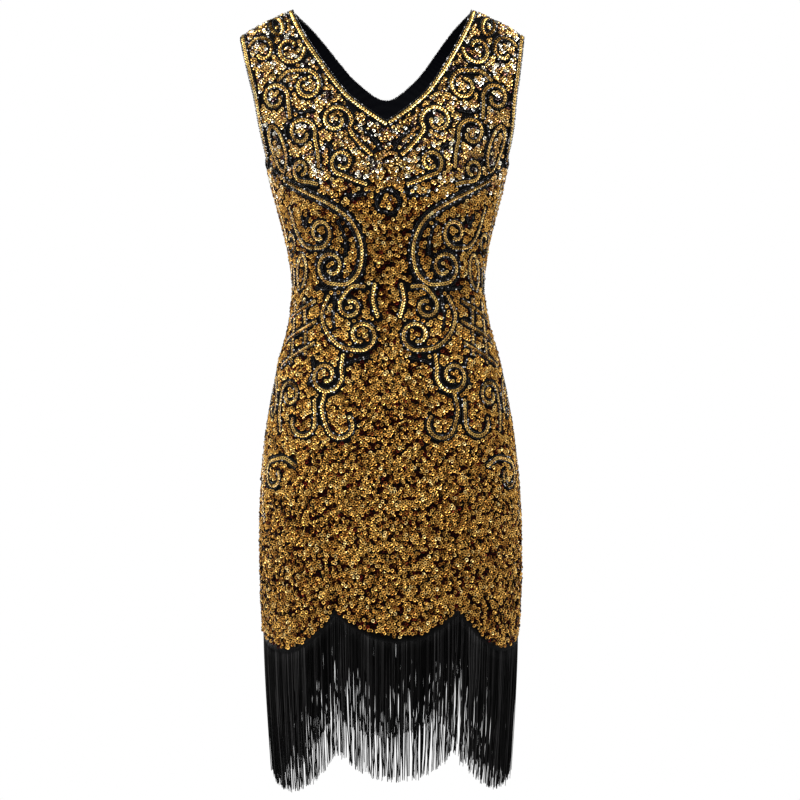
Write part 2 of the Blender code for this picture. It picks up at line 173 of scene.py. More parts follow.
def cloth(side, level, angle):
    """Points of the outer cloth. Angles run from the middle of the side, towards +X."""
    cut = section(level)
    x = cut["half_width"] * np.sin(angle)
    z = height_at(cut, x)
    depth = cut[side + "_depth"] * np.cos(angle)
    if side == "front":
        across = bell(x - BUST_SIDE, BUST_SPREAD_X) + bell(x + BUST_SIDE, BUST_SPREAD_X)
        depth = depth + BUST_RISE * across * bell(z - BUST_HEIGHT, BUST_SPREAD_Z) * np.cos(angle) ** 2
    for row in FOLDS[side]:
        fold = dict(zip(FOLD_COLUMNS, row))
        down = z - fold["height"]
        turned = (angle - math.radians(fold["angle_deg"])) * cut["half_width"]
        push = bell(turned - fold["slant"] * down, fold["half_width"]) * bell(down, fold["half_length"])
        depth = depth - fold["depth"] * push * np.cos(angle)
    y = -FACING[side] * depth
    turn = np.radians(cut["turn_deg"])
    return np.stack((
        x * np.cos(turn) - y * np.sin(turn) + cut["sway"],
        x * np.sin(turn) + y * np.cos(turn),
        z + 0.0 * x,
    ), axis=-1)


def unit(vectors):
    """Directions of some vectors."""
    return vectors / np.maximum(np.linalg.norm(vectors, axis=-1, keepdims=True), 1e-12)


def outward(side, level, angle):
    """Outward directions of the cloth."""
    step = 1e-4
    along = cloth(side, level, angle + step) - cloth(side, level, angle - step)
    upward = cloth(side, np.minimum(level + step, 0.0), angle) - cloth(side, level - step, angle)
    return unit(np.cross(along, upward)) * FACING[side]


def edge_angle(level, edge):
    """Angle from the middle at which the sections at some levels meet an edge."""
    cut = section(level)
    low, high = np.zeros_like(level), cut["half_width"].copy()
    for _ in range(34):
        x = (low + high) / 2
        inside = along_table(edge, height_at(cut, x), 1) > x
        low, high = np.where(inside, x, low), np.where(inside, high, x)
    return np.arcsin(np.minimum(1.0, low / cut["half_width"]))


def hem_height(side, angle):
    """Height of the scalloped edge at some angles."""
    away = np.minimum(np.abs(np.degrees(angle)), 90.0)
    height = np.zeros_like(away)
    rows = HEM[side]
    for k in range(3):
        (foot, low), (tip, high) = (rows[k], rows[k + 1]) if k != 1 else (rows[2], rows[1])
        share = (away - foot) / (tip - foot)
        here = (away >= min(foot, tip)) & (away <= max(foot, tip))
        height = np.where(here, low + (high - low) * share * share, height)
    return height


def neck_level(side):
    """The level whose section passes through the lowest point of the neck."""
    levels = np.linspace(UNDERARM, 0.0, 2000)
    heights = section(levels)["height"]
    return float(np.interp(NECK[side][0][0], heights, levels))


def panel_grid(side, columns, counts):
    """Levels and angles of the rows below the neck, then the level and edges of each strap row."""
    hem_rows, body_rows, yoke_rows, strap_rows = counts
    neck = neck_level(side)
    share = np.linspace(-1.0, 1.0, 2 * columns + 1)
    grid = []
    for k in range(hem_rows):
        angle = share * math.pi / 2
        hem = hem_height(side, angle)
        grid.append((hem + (HEM_ZONE_TOP - hem) * k / hem_rows, angle))
    levels = list(np.linspace(HEM_ZONE_TOP, UNDERARM, body_rows + 1))
    levels += [UNDERARM + (neck - UNDERARM) * (k / yoke_rows) ** 1.5 for k in range(1, yoke_rows + 1)]
    for level in levels:
        here = np.full_like(share, level)
        outer = math.pi / 2 if level <= UNDERARM else edge_angle(here[:1], ARMHOLE)[0]
        grid.append((here, share * outer))
    straps = []
    for k in range(1, strap_rows + 1):
        rise = k / strap_rows
        level = np.array([neck * (1 - rise * rise * (3 - 2 * rise))])
        straps.append((level[0], edge_angle(level, NECK[side])[0], edge_angle(level, ARMHOLE)[0]))
    return grid, straps


def add_to_scene(name, data):
    """A new object that shows a mesh, a lamp or a camera."""
    made = bpy.data.objects.new(name, data)
    bpy.context.scene.collection.objects.link(made)
    return made


def open_sheet(name, side, points, faces):
    """A sheet without a wall, whose outer face looks away from the body."""
    sheet = bpy.data.meshes.new(name)
    sheet.from_pydata(points, [], faces)
    if sheet.polygons[len(faces) // 2].normal.y * FACING[side] > 0:
        sheet.flip_normals()
    sheet.shade_smooth()
    return add_to_scene(name, sheet)


def cloth_sheet(name, side, columns, counts, inset, bottom=-1.0, edge_inset=0.0):
    """An open sheet on the cloth's form, set in from its outer face and its side edges."""
    grid, straps = panel_grid(side, columns, counts)
    points, faces, starts = [], [], []

    def add_row(level, angle):
        points.extend(cloth(side, level, angle) - outward(side, level, angle) * inset)
        return len(points) - len(level)

    def join_rows(below, above, count):
        faces.extend((below + j, below + j + 1, above + j + 1, above + j) for j in range(count))

    for level, angle in grid:
        if level[columns] >= bottom:
            angle[[0, -1]] *= 1.0 - edge_inset
            starts.append(add_row(level, angle))
    for below, above in zip(starts, starts[1:]):
        join_rows(below, above, 2 * columns)
    middle = starts[-1] + columns
    for hand, first in ((-1, starts[-1]), (1, middle + 1)):
        share = np.linspace(0.0, 1.0, columns)[::hand]
        below = first
        for level, inner, outer in straps:
            angle = hand * (inner + (outer * (1.0 - edge_inset) - inner) * share)
            above = add_row(np.full(columns, level), angle)
            join_rows(below, above, columns - 1)
            if below == first:
                gore = (middle, first, above) if hand > 0 else (middle - 1, middle, above + columns - 1)
                faces.append(gore)
            below = above
    return open_sheet(name, side, [tuple(p) for p in points], faces)


def pick(piece):
    """Leaves a piece alone selected and active."""
    bpy.ops.object.select_all(action="DESELECT")
    piece.select_set(True)
    bpy.context.view_layer.objects.active = piece


CUT_EDGE_DEG = 50.0  # corners sharper than this are shaded as cut edges


def give_wall(piece, thickness):
    """Gives an open sheet its wall, inwards, with crisp cut edges."""
    wall = piece.modifiers.new("Wall", "SOLIDIFY")
    wall.thickness = thickness
    wall.offset = -1.0
    pick(piece)
    bpy.ops.object.modifier_apply(modifier=wall.name)
    piece.select_set(False)
    piece.data.set_sharp_from_angle(angle=math.radians(CUT_EDGE_DEG))


def shader_group(name, takes, gives):
    """An empty shader group for plain values, with its two ends."""
    group = bpy.data.node_groups.new(name, "ShaderNodeTree")
    for sockets, way in ((takes, "INPUT"), (gives, "OUTPUT")):
        for socket in sockets:
            group.interface.new_socket(socket, in_out=way, socket_type="NodeSocketFloat")
    return group, group.nodes.new("NodeGroupInput"), group.nodes.new("NodeGroupOutput")


def feed(tree, socket, value):
    """Links another node's output to a socket, or gives it a plain value."""
    if isinstance(value, bpy.types.NodeSocket):
        tree.links.new(value, socket)
    else:
        socket.default_value = value


def feed_all(tree, node, values):
    """Feeds a node's inputs by name."""
    for name, value in values.items():
        feed(tree, node.inputs[name], value)


def new_node(tree, kind, values):
    """A new node, with its inputs fed by name."""
    node = tree.nodes.new(kind)
    feed_all(tree, node, values)
    return node


def worked_out(tree, operation, *values):
    """The output of a maths node."""
    node = tree.nodes.new("ShaderNodeMath")
    node.operation = operation
    for socket, value in zip(node.inputs, values):
        feed(tree, socket, value)
    return node.outputs[0]


def mixed(tree, share, first, second):
    """A colour mixed from two others."""
    mix = tree.nodes.new("ShaderNodeMix")
    mix.data_type = "RGBA"
    feed_all(tree, mix, {"Factor": share, "A": first, "B": second})
    return mix.outputs["Result"]


def noise(tree, values):
    """A noise over the place on the object."""
    place = tree.nodes.new("ShaderNodeTexCoord").outputs["Object"]
    return new_node(tree, "ShaderNodeTexNoise", {"Vector": place, **values}).outputs["Fac"]


def fine_knit_group():
    """Shader group: the loops of a fine knit, as a height and as a change of tone."""
    group, entry, leave = shader_group("Fine knit", ("Loops per metre",), ("Height", "Tone"))
    place = group.nodes.new("ShaderNodeTexCoord").outputs["Object"]
    split = new_node(group, "ShaderNodeSeparateXYZ", {"Vector": place})
    x_wave, y_wave, z_wave = (
        worked_out(group, "SINE", worked_out(group, "MULTIPLY", axis, entry.outputs["Loops per metre"]))
        for axis in split.outputs
    )
    height = worked_out(group, "ADD", worked_out(group, "MULTIPLY", x_wave, z_wave), y_wave)
    feed_all(group, leave, {"Height": height, "Tone": noise(group, {"Scale": 45.0, "Detail": 3.0})})
    return group


FINE_KNIT = fine_knit_group()
LOOP_HEIGHT = 0.0002


def new_material(name, roughness):
    """A plain material, with its node tree and its shader."""
    made = bpy.data.materials.new(name)
    made.use_nodes = True
    shader = made.node_tree.nodes["Principled BSDF"]
    shader.inputs["Roughness"].default_value = roughness
    return made, made.node_tree, shader


def read_attribute(tree, name):
    """The value that a piece's mesh gives each point under a name."""
    read = tree.nodes.new("ShaderNodeAttribute")
    read.attribute_name = name
    return read.outputs["Fac"]


def black_cloth(name, dark, light, roughness, loops, bump, gloss, by_strand=False):
    """Black cloth with the loops of its knit, in tones that change slowly or from strand to strand."""
    made, tree, shader = new_material(name, roughness)
    knit = tree.nodes.new("ShaderNodeGroup")
    knit.node_tree = FINE_KNIT
    feed_all(tree, knit, {"Loops per metre": loops})
    share = read_attribute(tree, "tone") if by_strand else knit.outputs["Tone"]
    raised = new_node(tree, "ShaderNodeBump", {
        "Strength": bump, "Distance": LOOP_HEIGHT, "Height": knit.outputs["Height"],
    })
    feed_all(tree, shader, {
        "Base Color": mixed(tree, share, dark, light),
        "Normal": raised.outputs["Normal"],
        "Specular IOR Level": gloss,
    })
    return made


MESH_BLACK = black_cloth(
    "Black mesh", dark=(0.0004, 0.0004, 0.0004, 1), light=(0.0022, 0.0018, 0.0018, 1),
    roughness=0.7, loops=5200.0, bump=0.5, gloss=0.04,
)
PANEL_COLUMNS = 36
PANEL_ROWS = (14, 64, 6, 26)  # in the hem zone, the body, the yoke and the straps
CLOTH_INSET, CLOTH_WALL = 0.0009, 0.0008
panels = {}
for side in SIDES:
    panels[side] = cloth_sheet(side + "_cloth", side, PANEL_COLUMNS, PANEL_ROWS, CLOTH_INSET)
    give_wall(panels[side], CLOTH_WALL)
    panels[side].data.materials.append(MESH_BLACK)
    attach(panels[side], "root")
    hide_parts(side + "_panel")


# Lining of the back: plain black jersey, sewn in at the neck and armholes. Only its upper part
# shows, as the dark band behind the V of the front, so it ends just under the armholes.
# Its faint blue cast is painted sheen on the black jersey
LINING_BLACK = black_cloth(
    "Black jersey", dark=(0.0004, 0.0005, 0.0011, 1), light=(0.0013, 0.0016, 0.0030, 1),
    roughness=0.5, loops=3600.0, bump=0.35, gloss=0.06,
)
LINING_COLUMNS, LINING_INSET, LINING_WALL = 24, 0.0026, 0.0007
LINING_BOTTOM, LINING_EDGE_INSET = -0.270, 0.012
lining = cloth_sheet(
    "inner_lining", "back", LINING_COLUMNS, PANEL_ROWS, LINING_INSET, LINING_BOTTOM, LINING_EDGE_INSET
)
give_wall(lining, LINING_WALL)
lining.data.materials.append(LINING_BLACK)
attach(lining, "root")
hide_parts("back_lining")


# Rows along the neck and the armholes: overlapping gold sequins sewn like a chain, between two
# rows of black seed beads. One cupped sequin and one bead are modelled, then sewn on in joined
# copies, each with its own turn, tilt and tone.
SEQUIN_SIDES, SEQUIN_HOLE = 9, 0.40


def dished_sequin(name, radius, dish):
    """A round sequin, dished towards the hole that it is sewn through."""
    bpy.ops.mesh.primitive_circle_add(vertices=SEQUIN_SIDES, radius=radius, location=(0, 0, 0))
    sequin = bpy.context.active_object
    sequin.name = name
    bpy.ops.object.mode_set(mode="EDIT")
    bpy.ops.mesh.select_all(action="SELECT")
    bpy.ops.mesh.extrude_edges_move()
    bpy.ops.transform.resize(value=(SEQUIN_HOLE, SEQUIN_HOLE, 1.0))
    bpy.ops.transform.translate(value=(0.0, 0.0, -dish))
    bpy.ops.mesh.select_all(action="SELECT")
    bpy.ops.mesh.quads_convert_to_tris()
    bpy.ops.mesh.normals_make_consistent(inside=False)
    bpy.ops.object.mode_set(mode="OBJECT")
    if sequin.data.polygons[0].normal.z < 0:
        sequin.data.flip_normals()
    sequin.select_set(False)
    return sequin


def seed_bead(name, radius):
    """A small round bead."""
    bpy.ops.mesh.primitive_ico_sphere_add(subdivisions=1, radius=radius, location=(0, 0, 0))
    bead = bpy.context.active_object
    bead.name = name
    bead.select_set(False)
    return bead


def frames_from(normals, along):
    """Turning matrices whose third axis is the normal and whose first lies along a direction."""
    third = unit(normals)
    first = unit(along - third * np.sum(along * third, axis=-1, keepdims=True))
    return np.stack((first, np.cross(third, first), third), axis=-1)


def give_values(mesh, name, values):
    """Gives each point of a mesh a value that its material reads."""
    given = mesh.attributes.new(name, "FLOAT", "POINT")
    given.data.foreach_set("value", values.astype(np.float32))


def sew_on(name, pattern, places, turns, tones, material):
    """Copies of a modelled shape at places, joined in one mesh, with a tone for each copy."""
    corners = np.array([v.co for v in pattern.data.vertices])
    triangles = np.array([p.vertices for p in pattern.data.polygons])
    reach = np.linalg.norm(corners[:, :2], axis=1)
    reach = reach / reach.max()
    count, size = len(places), len(corners)
    points = places[:, None, :] + np.einsum("nij,kj->nki", turns, corners)
    faces = triangles[None] + (np.arange(count) * size)[:, None, None]
    mesh = bpy.data.meshes.new(name)
    mesh.vertices.add(count * size)
    mesh.vertices.foreach_set("co", points.reshape(-1))
    mesh.loops.add(faces.size)
    mesh.loops.foreach_set("vertex_index", faces.reshape(-1).astype(np.int32))
    mesh.polygons.add(faces.size // 3)
    mesh.polygons.foreach_set("loop_start", np.arange(0, faces.size, 3, dtype=np.int32))
    mesh.update(calc_edges=True)
    give_values(mesh, "tone", np.repeat(tones, size))
    give_values(mesh, "rim", np.tile(reach, count))
    mesh.shade_smooth()
    made = add_to_scene(name, mesh)
    mesh.materials.append(material)
    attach(made, "root")
    return made


def graded(tree, value, low, high, start, end, smooth=False):
    """A value that runs from one number to another while a given one goes from low to high."""
    grade = tree.nodes.new("ShaderNodeMapRange")
    grade.interpolation_type = "SMOOTHSTEP" if smooth else "LINEAR"
    feed_all(tree, grade, {
        "Value": value, "From Min": low, "From Max": high, "To Min": start, "To Max": end,
    })
    return grade.outputs["Result"]


HOLE_PAINTED_SHADE = 0.16  # width of the painted shade that darkens the foil round a hole, as a share of the sequin's radius
EDGE_PAINTED_SHADE = (0.82, 0.96, 1.0, 0.05)  # where painted edge shade darkens the rim, and from and to what


def sequin_face_group():
    """Shader group: the face of one sequin, its foil darkened by painted shade round its hole and at its
    cut edge.
    """
    group, entry, leave = shader_group("Sequin face", ("Hole",), ("Foil past painted shade", "Wear"))
    rim, hole = read_attribute(group, "rim"), entry.outputs["Hole"]
    shade_end = worked_out(group, "ADD", hole, HOLE_PAINTED_SHADE)
    past_hole_shade = graded(group, rim, hole, shade_end, 0.0, 1.0, smooth=True)
    inside_edge_shade = graded(group, rim, *EDGE_PAINTED_SHADE)
    feed_all(group, leave, {
        "Foil past painted shade": worked_out(group, "MULTIPLY", past_hole_shade, inside_edge_shade),
        "Wear": noise(group, {"Scale": 900.0}),
    })
    return group


def tone_colours(tree, rows):
    """The colour for the tone of each copy, by a table of tones with their red, green and blue."""
    ramp = tree.nodes.new("ShaderNodeValToRGB")
    stops = ramp.color_ramp.elements
    for stop, (tone, *colour) in zip(stops, (rows[0], rows[-1])):
        stop.position = tone
        stop.color = (*colour, 1)
    for tone, *colour in rows[1:-1]:
        stops.new(tone).color = (*colour, 1)
    feed(tree, ramp.inputs["Fac"], read_attribute(tree, "tone"))
    return ramp.outputs["Color"]


SEQUIN_FACE = sequin_face_group()


def sequin_gold(name, tones, roughness, hole, coat):
    """Gold foil sequins, in tones from dark amber to pale gold, with painted shade round the hole and at
    the edge.
    """
    made, tree, shader = new_material(name, roughness)
    face = tree.nodes.new("ShaderNodeGroup")
    face.node_tree = SEQUIN_FACE
    feed_all(tree, face, {"Hole": hole})
    foil, wear = face.outputs["Foil past painted shade"], face.outputs["Wear"]
    # The near-black that the foil fades to is painted shade, round the hole and at the cut edge
    feed_all(tree, shader, {
        "Base Color": mixed(tree, foil, (0.003, 0.002, 0.0015, 1), tone_colours(tree, tones)),
        "Roughness": graded(tree, wear, 0.0, 1.0, roughness - 0.08, roughness + 0.12),
        "Coat Weight": worked_out(tree, "MULTIPLY", foil, coat),
        "Coat Roughness": 0.10,
        "Metallic": 1.0,
    })
    return made


CHAIN_TONES = (
    (0.0, 0.28, 0.13, 0.025),
    (0.30, 0.54, 0.30, 0.065),
    (0.70, 0.82, 0.54, 0.150),
    (1.0, 0.95, 0.76, 0.340),
)
CHAIN_GOLD = sequin_gold("Gold sequin chain", CHAIN_TONES, roughness=0.30, hole=0.36, coat=0.5)

# Most beads are black, and one in ten is painted pale grey to white as a painted glint
BEAD_TONES_PAINTED_GLINTS = (
    (0.0, 0.001, 0.001, 0.001),
    (0.87, 0.005, 0.005, 0.005),
    (0.90, 0.22, 0.21, 0.21),
    (1.0, 0.80, 0.79, 0.78),
)
BEAD_BLACK, bead_tree, bead_shader = new_material("Black seed beads", 0.22)
feed_all(bead_tree, bead_shader, {
    "Base Color": tone_colours(bead_tree, BEAD_TONES_PAINTED_GLINTS), "Specular IOR Level": 0.25,
})

CHAIN_WIDTH, CHAIN_PITCH, CHAIN_DISH = 0.0048, 0.0038, 0.0005
CHAIN_GAP = 0.0036  # least distance from a sequin to those of an earlier row
BEAD_SIZE, BEAD_PITCH, BEAD_OFFSET, BEAD_LIFT = 0.0019, 0.0021, 0.0034, 0.0002
EDGE_INSET = 0.0032  # from the cut edge of the cloth to the middle of the chain
chain_sequin = dished_sequin("chain_sequin", CHAIN_WIDTH / 2, CHAIN_DISH)
bead = seed_bead("seed_bead", BEAD_SIZE / 2)
rng = np.random.default_rng(11)
sewn_chain = {side: [] for side in SIDES}
sewn_beads = {side: [] for side in SIDES}


def run_along(points):
    """Distances of some points along their line, from its start."""
    return np.concatenate(([0.0], np.cumsum(np.linalg.norm(np.diff(points, axis=0), axis=1))))


def spaced(points, normals, pitch):
    """Places at equal steps along a line on the cloth, with their normals and directions."""
    run = run_along(points)
    count = max(2, int(run[-1] / pitch) + 1)
    at = (np.arange(count) + 0.5) * run[-1] / count
    near = 4e-4

    def read(values, at):
        return np.stack([np.interp(at, run, values[:, k]) for k in range(3)], axis=-1)

    along = unit(read(points, at + near) - read(points, at - near))
    return read(points, at), unit(read(normals, at)), along


def search_tree(places):
    """A tree that finds the nearest of some places."""
    tree = KDTree(len(places))
    for k, point in enumerate(places):
        tree.insert(Vector(point), k)
    tree.balance()
    return tree


def clear_of(places, taken, gap):
    """True for each place that is at least a gap from every taken one."""
    if not len(taken):
        return np.ones(len(places), bool)
    tree = search_tree(taken)
    return np.array([tree.find(Vector(p))[2] >= gap for p in places], bool)


def thinned(places, gap):
    """True for each place that is not too near an earlier one."""
    tree = search_tree(places)
    keep = np.ones(len(places), bool)
    for k, point in enumerate(places):
        if keep[k]:
            for _, other, _ in tree.find_range(Vector(point), gap):
                if other > k:
                    keep[other] = False
    return keep


def joined(rows):
    """The columns of some rows of arrays, each joined end to end."""
    return [np.concatenate(column) for column in zip(*rows)]


def chain_places(side):
    """Places of all the chained sequins that a side has so far."""
    return joined(sewn_chain[side])[0] if sewn_chain[side] else []


def sew_row(side, points, normals, chain=True, beads=(-1, 1), keep=None):
    """A row of chained sequins along a line, with a row of beads on each side of it."""
    if chain:
        place, normal, along = spaced(points, normals, CHAIN_PITCH)
        free = clear_of(place, chain_places(side), CHAIN_GAP)
        if keep is not None:
            free &= keep(place)
        sewn_chain[side].append((place[free], normal[free], along[free]))
    for hand in beads:
        place, normal, along = spaced(points, normals, BEAD_PITCH)
        across = np.cross(normal, along)
        place = place + across * BEAD_OFFSET * hand + normal * BEAD_LIFT
        if keep is not None:
            place, normal, along = (value[keep(place)] for value in (place, normal, along))
        sewn_beads[side].append((place, normal, along))


def set_in(side, level, angle, towards):
    """The line of a chain, set in from an edge, with its normals and directions."""
    points, normals = cloth(side, level, angle), outward(side, level, angle)
    along = unit(np.gradient(points, axis=0))
    inward = np.cross(normals, along)
    inward *= np.sign(np.sum(inward * np.array(towards), axis=-1, keepdims=True))
    return points + inward * EDGE_INSET, normals, along


PAST_MIDDLE = np.linspace(0.006, 0.0004, 8)[:, None]  # how far the neck's line is carried on


def neck_line(side, hand):
    """The line of the neck's chain, from just past the middle to the shoulder seam."""
    rise = np.linspace(0.0, 1.0, 300)
    level = neck_level(side) * (1 - rise * rise * (3 - 2 * rise))
    angle = edge_angle(level, NECK[side]) * hand
    points, normals, along = set_in(side, level, angle, (hand, 0.0, -1.0))
    first_normals = np.repeat(normals[:1], len(PAST_MIDDLE), axis=0)
    return joined(((points[:1] - along[:1] * PAST_MIDDLE, first_normals), (points, normals)))


def armhole_line(side, hand):
    """The line of the armhole's chain on one panel, from the side seam to the shoulder seam."""
    level = UNDERARM * (1 - np.linspace(0.0, 1.0, 240) ** 1.3)
    angle = edge_angle(level, ARMHOLE) * hand
    angle[0] = math.pi / 2 * hand
    return set_in(side, level, angle, (-hand, 0.0, -0.6))[:2]


MIDDLE_GAP = 0.0009  # from the middle of the neck to the first sequin or bead on each side
for side in SIDES:
    middle_x = float(cloth(side, np.array([neck_level(side)]), np.array([0.0]))[0, 0])
    for hand in (-1, 1):

        def on_this_half(places):
            return (places[:, 0] - middle_x) * hand > MIDDLE_GAP

        sew_row(side, *neck_line(side, hand), keep=on_this_half)
        sew_row(side, *armhole_line(side, hand))
edge_rows = {side: len(sewn_chain[side]) for side in SIDES}


# Scrollwork over the yoke, waist and hips: the same chain of gold sequins edged with beads, laid
# in volutes, hooks and leaves, with a trellis at the waist. Each half mirrors the other, and the
# back repeats the front. Places are millimetres across the cloth from its middle, and height.
MM = 0.001
# Each scroll is a stem, the centre that it rolls up round, the turns it makes and its last radius
SCROLLS = (
    (((106, -26), (101, -44)), (118, -56), 1.05, 8),
    (((174, -94), (173, -70)), (156, -56), 1.00, 8),
    (((136, -96), (122, -85), (104, -84)), (98, -103), 1.05, 8),
    (((122, -144), (123, -124)), (141, -117), -1.10, 7),
    (((18, -192), (32, -178), (45, -160)), (62, -148), -1.15, 7),
    (((86, -206), (87, -186), (90, -170)), (108, -162), -1.05, 8),
    (((24, -228), (40, -222), (54, -216)), (54, -200), 1.15, 6),
    (((88, -226), (100, -223), (113, -221)), (113, -207), 1.00, 6),
    (((142, -250), (130, -280), (112, -299), (90, -302)), (88, -284), -1.10, 7),
    (((184, -216), (176, -250), (163, -284)), (147, -292), -1.00, 6),
    (((76, -360), (86, -382), (79, -405), (60, -423), (37, -428)), (34, -409), -1.05, 8),
    (((28, -350), (45, -350), (58, -364)), (47, -374), -0.95, 6),
    (((57, -432), (59, -450)), (80, -459), 1.35, 6),
    (((81, -480), (85, -500), (80, -520)), (62, -518), -0.60, 15),
    (((95, -487), (95, -510)), (114, -515), 0.60, 15),
    (((150, -528), (153, -504), (151, -486)), (134, -482), 1.10, 7),
    (((124, -570), (142, -560), (162, -562)), (164, -581), -0.85, 10),
    (((16, -346), (19, -366), (13, -388)), None, 0, 0),
    (((184, -450), (194, -500), (198, -556), (196, -604), (188, -640)), None, 0, 0),
)
LYRE = ((148, -217), (114, -232), (74, -250), (45, -271), (32, -300), (35, -330), (50, -346), (70, -346))
LYRE_END = ((72, -325), 1.15, 7)
# Each leaf is a centre, half a length, half a width and a lean in degrees
LEAVES = (
    ((136, -24), 13, 8, 24),
    ((148, -179), 28, 12, 6),
    ((122, -330), 21, 10, -8),
    ((150, -336), 17, 7, 0),
    ((172, -484), 24, 9, 8),
)
TRELLIS = (
    ((150, -388), (96, -366)),
    ((154, -416), (94, -391)),
    ((158, -446), (96, -418)),
    ((116, -362), (110, -434)),
    ((138, -366), (134, -444)),
)
BEAD_VEINS = (
    ((84, -66), (78, -82), (66, -100), (52, -116)),
    ((118, -130), (108, -136), (88, -134)),
    ((28, -160), (16, -172), (8, -186)),
    ((76, -176), (68, -184), (72, -206)),
    ((128, -150), (132, -164), (130, -190), (124, -206)),
    ((158, -208), (168, -202), (172, -190)),
    ((20, -236), (34, -241), (52, -240)),
    ((62, -270), (52, -292), (52, -312)),
    ((106, -262), (112, -276), (118, -262)),
    ((96, -350), (84, -352), (72, -352)),
    ((100, -436), (96, -450), (104, -470)),
    ((66, -402), (70, -388), (66, -350)),
    ((24, -436), (40, -440), (52, -444)),
)
MEDALLION = ((0, -234), (10, -239), (14, -249), (10, -259), (0, -263))


class ClothMap:
    """Finds the level and angle of a place given across and up the cloth."""

    LEVELS, ANGLES, CLIMB_DEG, LOWEST = 400, 121, 46.0, -0.800
    ROUNDS, EASE = 36, 0.7  # of the search for a level by its height

    def __init__(self, side):
        count, wide = self.LEVELS, self.ANGLES
        self.levels = np.linspace(self.LOWEST, 0.0, count)
        self.angles = np.linspace(0.0, math.pi / 2, wide)
        points = cloth(side, np.repeat(self.levels, wide), np.tile(self.angles, count))
        steps = np.linalg.norm(np.diff(points.reshape(count, wide, 3), axis=1), axis=2)
        self.across = np.concatenate((np.zeros((count, 1)), np.cumsum(steps, axis=1)), axis=1)
        upright = cloth(side, self.levels, np.full(count, math.radians(self.CLIMB_DEG)))
        self.climb = run_along(upright)

    def angle(self, level, across):
        """Angles round the body of places across some levels."""
        where = (level - self.levels[0]) / (self.levels[1] - self.levels[0])
        where = np.clip(where, 0, self.LEVELS - 1.001)
        low = where.astype(int)
        part = (where - low)[:, None]
        table = self.across[low] * (1 - part) + self.across[low + 1] * part
        goal = np.abs(across)
        k = np.clip((table < goal[:, None]).sum(axis=1), 1, self.ANGLES - 1)
        rows = np.arange(len(level))
        before, after = table[rows, k - 1], table[rows, k]
        share = np.clip((goal - before) / np.maximum(after - before, 1e-9), 0.0, 4.0)
        return np.sign(across) * (self.angles[k - 1] + share * (self.angles[1] - self.angles[0]))

    def at_height(self, across, height):
        """Levels and angles of places given across the cloth and by height."""
        level = np.clip(height, -0.79, -0.002)
        for _ in range(self.ROUNDS):
            angle = self.angle(level, across)
            cut = section(level)
            error = height - height_at(cut, cut["half_width"] * np.sin(angle))
            level = np.clip(level + self.EASE * error, self.LOWEST, -0.0005)
        return level, angle


def on_panel(side, level, angle, room):
    """True where a place lies on the panel, with room left to its neck, armholes and hem."""
    neck_room, armhole_room, hem_room = room
    cut = section(level)
    x = np.abs(cut["half_width"] * np.sin(angle))
    height = height_at(cut, x)
    good = np.abs(angle) <= math.pi / 2 + 1e-6
    neck_foot = NECK[side][0][0]
    above = height > neck_foot
    inner = along_table(NECK[side], height, 1) * above
    below = height < neck_foot - neck_room * 1.2
    good &= below | (x > inner + neck_room * np.where(above, 1.0, 0.6))
    good &= (level < UNDERARM - armhole_room) | (x < along_table(ARMHOLE, height, 1) - armhole_room)
    good &= height > hem_height(side, angle) + hem_room
    return good


def curve_through(points, steps=18):
    """A smooth line through points."""
    p = np.array(points, float)
    p = np.concatenate((2 * p[:1] - p[1:2], p, 2 * p[-1:] - p[-2:-1]))
    t = (np.arange(steps) / steps)[:, None]
    parts = []
    for a, b, c, d in zip(p, p[1:], p[2:], p[3:]):
        bend = 2 * a - 5 * b + 4 * c - d
        twist = 3 * b - a - 3 * c + d
        parts.append(0.5 * (2 * b + (c - a) * t + bend * t ** 2 + twist * t ** 3))
    return np.concatenate(parts + [p[-2:-1]])


def scroll_line(stem, centre, turns, last_radius):
    """A stem that rolls up into a volute round its centre."""
    points = [tuple(p) for p in stem]
    if centre is not None:
        dx, dz = stem[-1][0] - centre[0], stem[-1][1] - centre[1]
        radius, start = math.hypot(dx, dz), math.atan2(dz, dx)
        count = max(3, int(abs(turns) * 12))
        for k in range(1, count + 1):
            share = k / count
            r = radius + (last_radius - radius) * share
            a = start + turns * 2 * math.pi * share
            points.append((centre[0] + r * math.cos(a), centre[1] + r * math.sin(a)))
    return curve_through(points)


def leaf_line(centre, half_length, half_width, lean_deg):
    """A closed pointed oval."""
    a = np.linspace(0.0, 2 * math.pi, 60)
    x = half_width * np.sin(a) * np.abs(np.sin(a)) ** 0.15
    z = half_length * np.cos(a)
    lean = math.radians(lean_deg)
    return np.stack((
        centre[0] + x * math.cos(lean) + z * math.sin(lean),
        centre[1] - x * math.sin(lean) + z * math.cos(lean),
    ), axis=-1)


SCROLL_ROOM = (0.0095, 0.0085, 0.004)  # room left to the neck, the armholes and the hem
LYRE_BEADS, VEIN_BEADS, MEDALLION_BEADS = (-1.62, -1, 1, 1.62), (-0.32, 0.32), (0, 0.65)
LEAST_RUN = 5  # a shorter run of points is a stub at an edge, and is left off


def sew_scroll(side, line, hand, chain=True, beads=(-1, 1)):
    """Sews a line of the scrollwork on one half of a panel, wherever it lies on the cloth."""
    level, angle = maps[side].at_height(line[:, 0] * MM * hand, line[:, 1] * MM)
    good = on_panel(side, level, angle, SCROLL_ROOM)
    stops = np.flatnonzero(np.diff(np.concatenate(([0], good.astype(int), [0]))))
    for begin, end in zip(stops[::2], stops[1::2]):
        if end - begin > LEAST_RUN:
            here = side, level[begin:end], angle[begin:end]
            sew_row(side, cloth(*here), outward(*here), chain, beads)


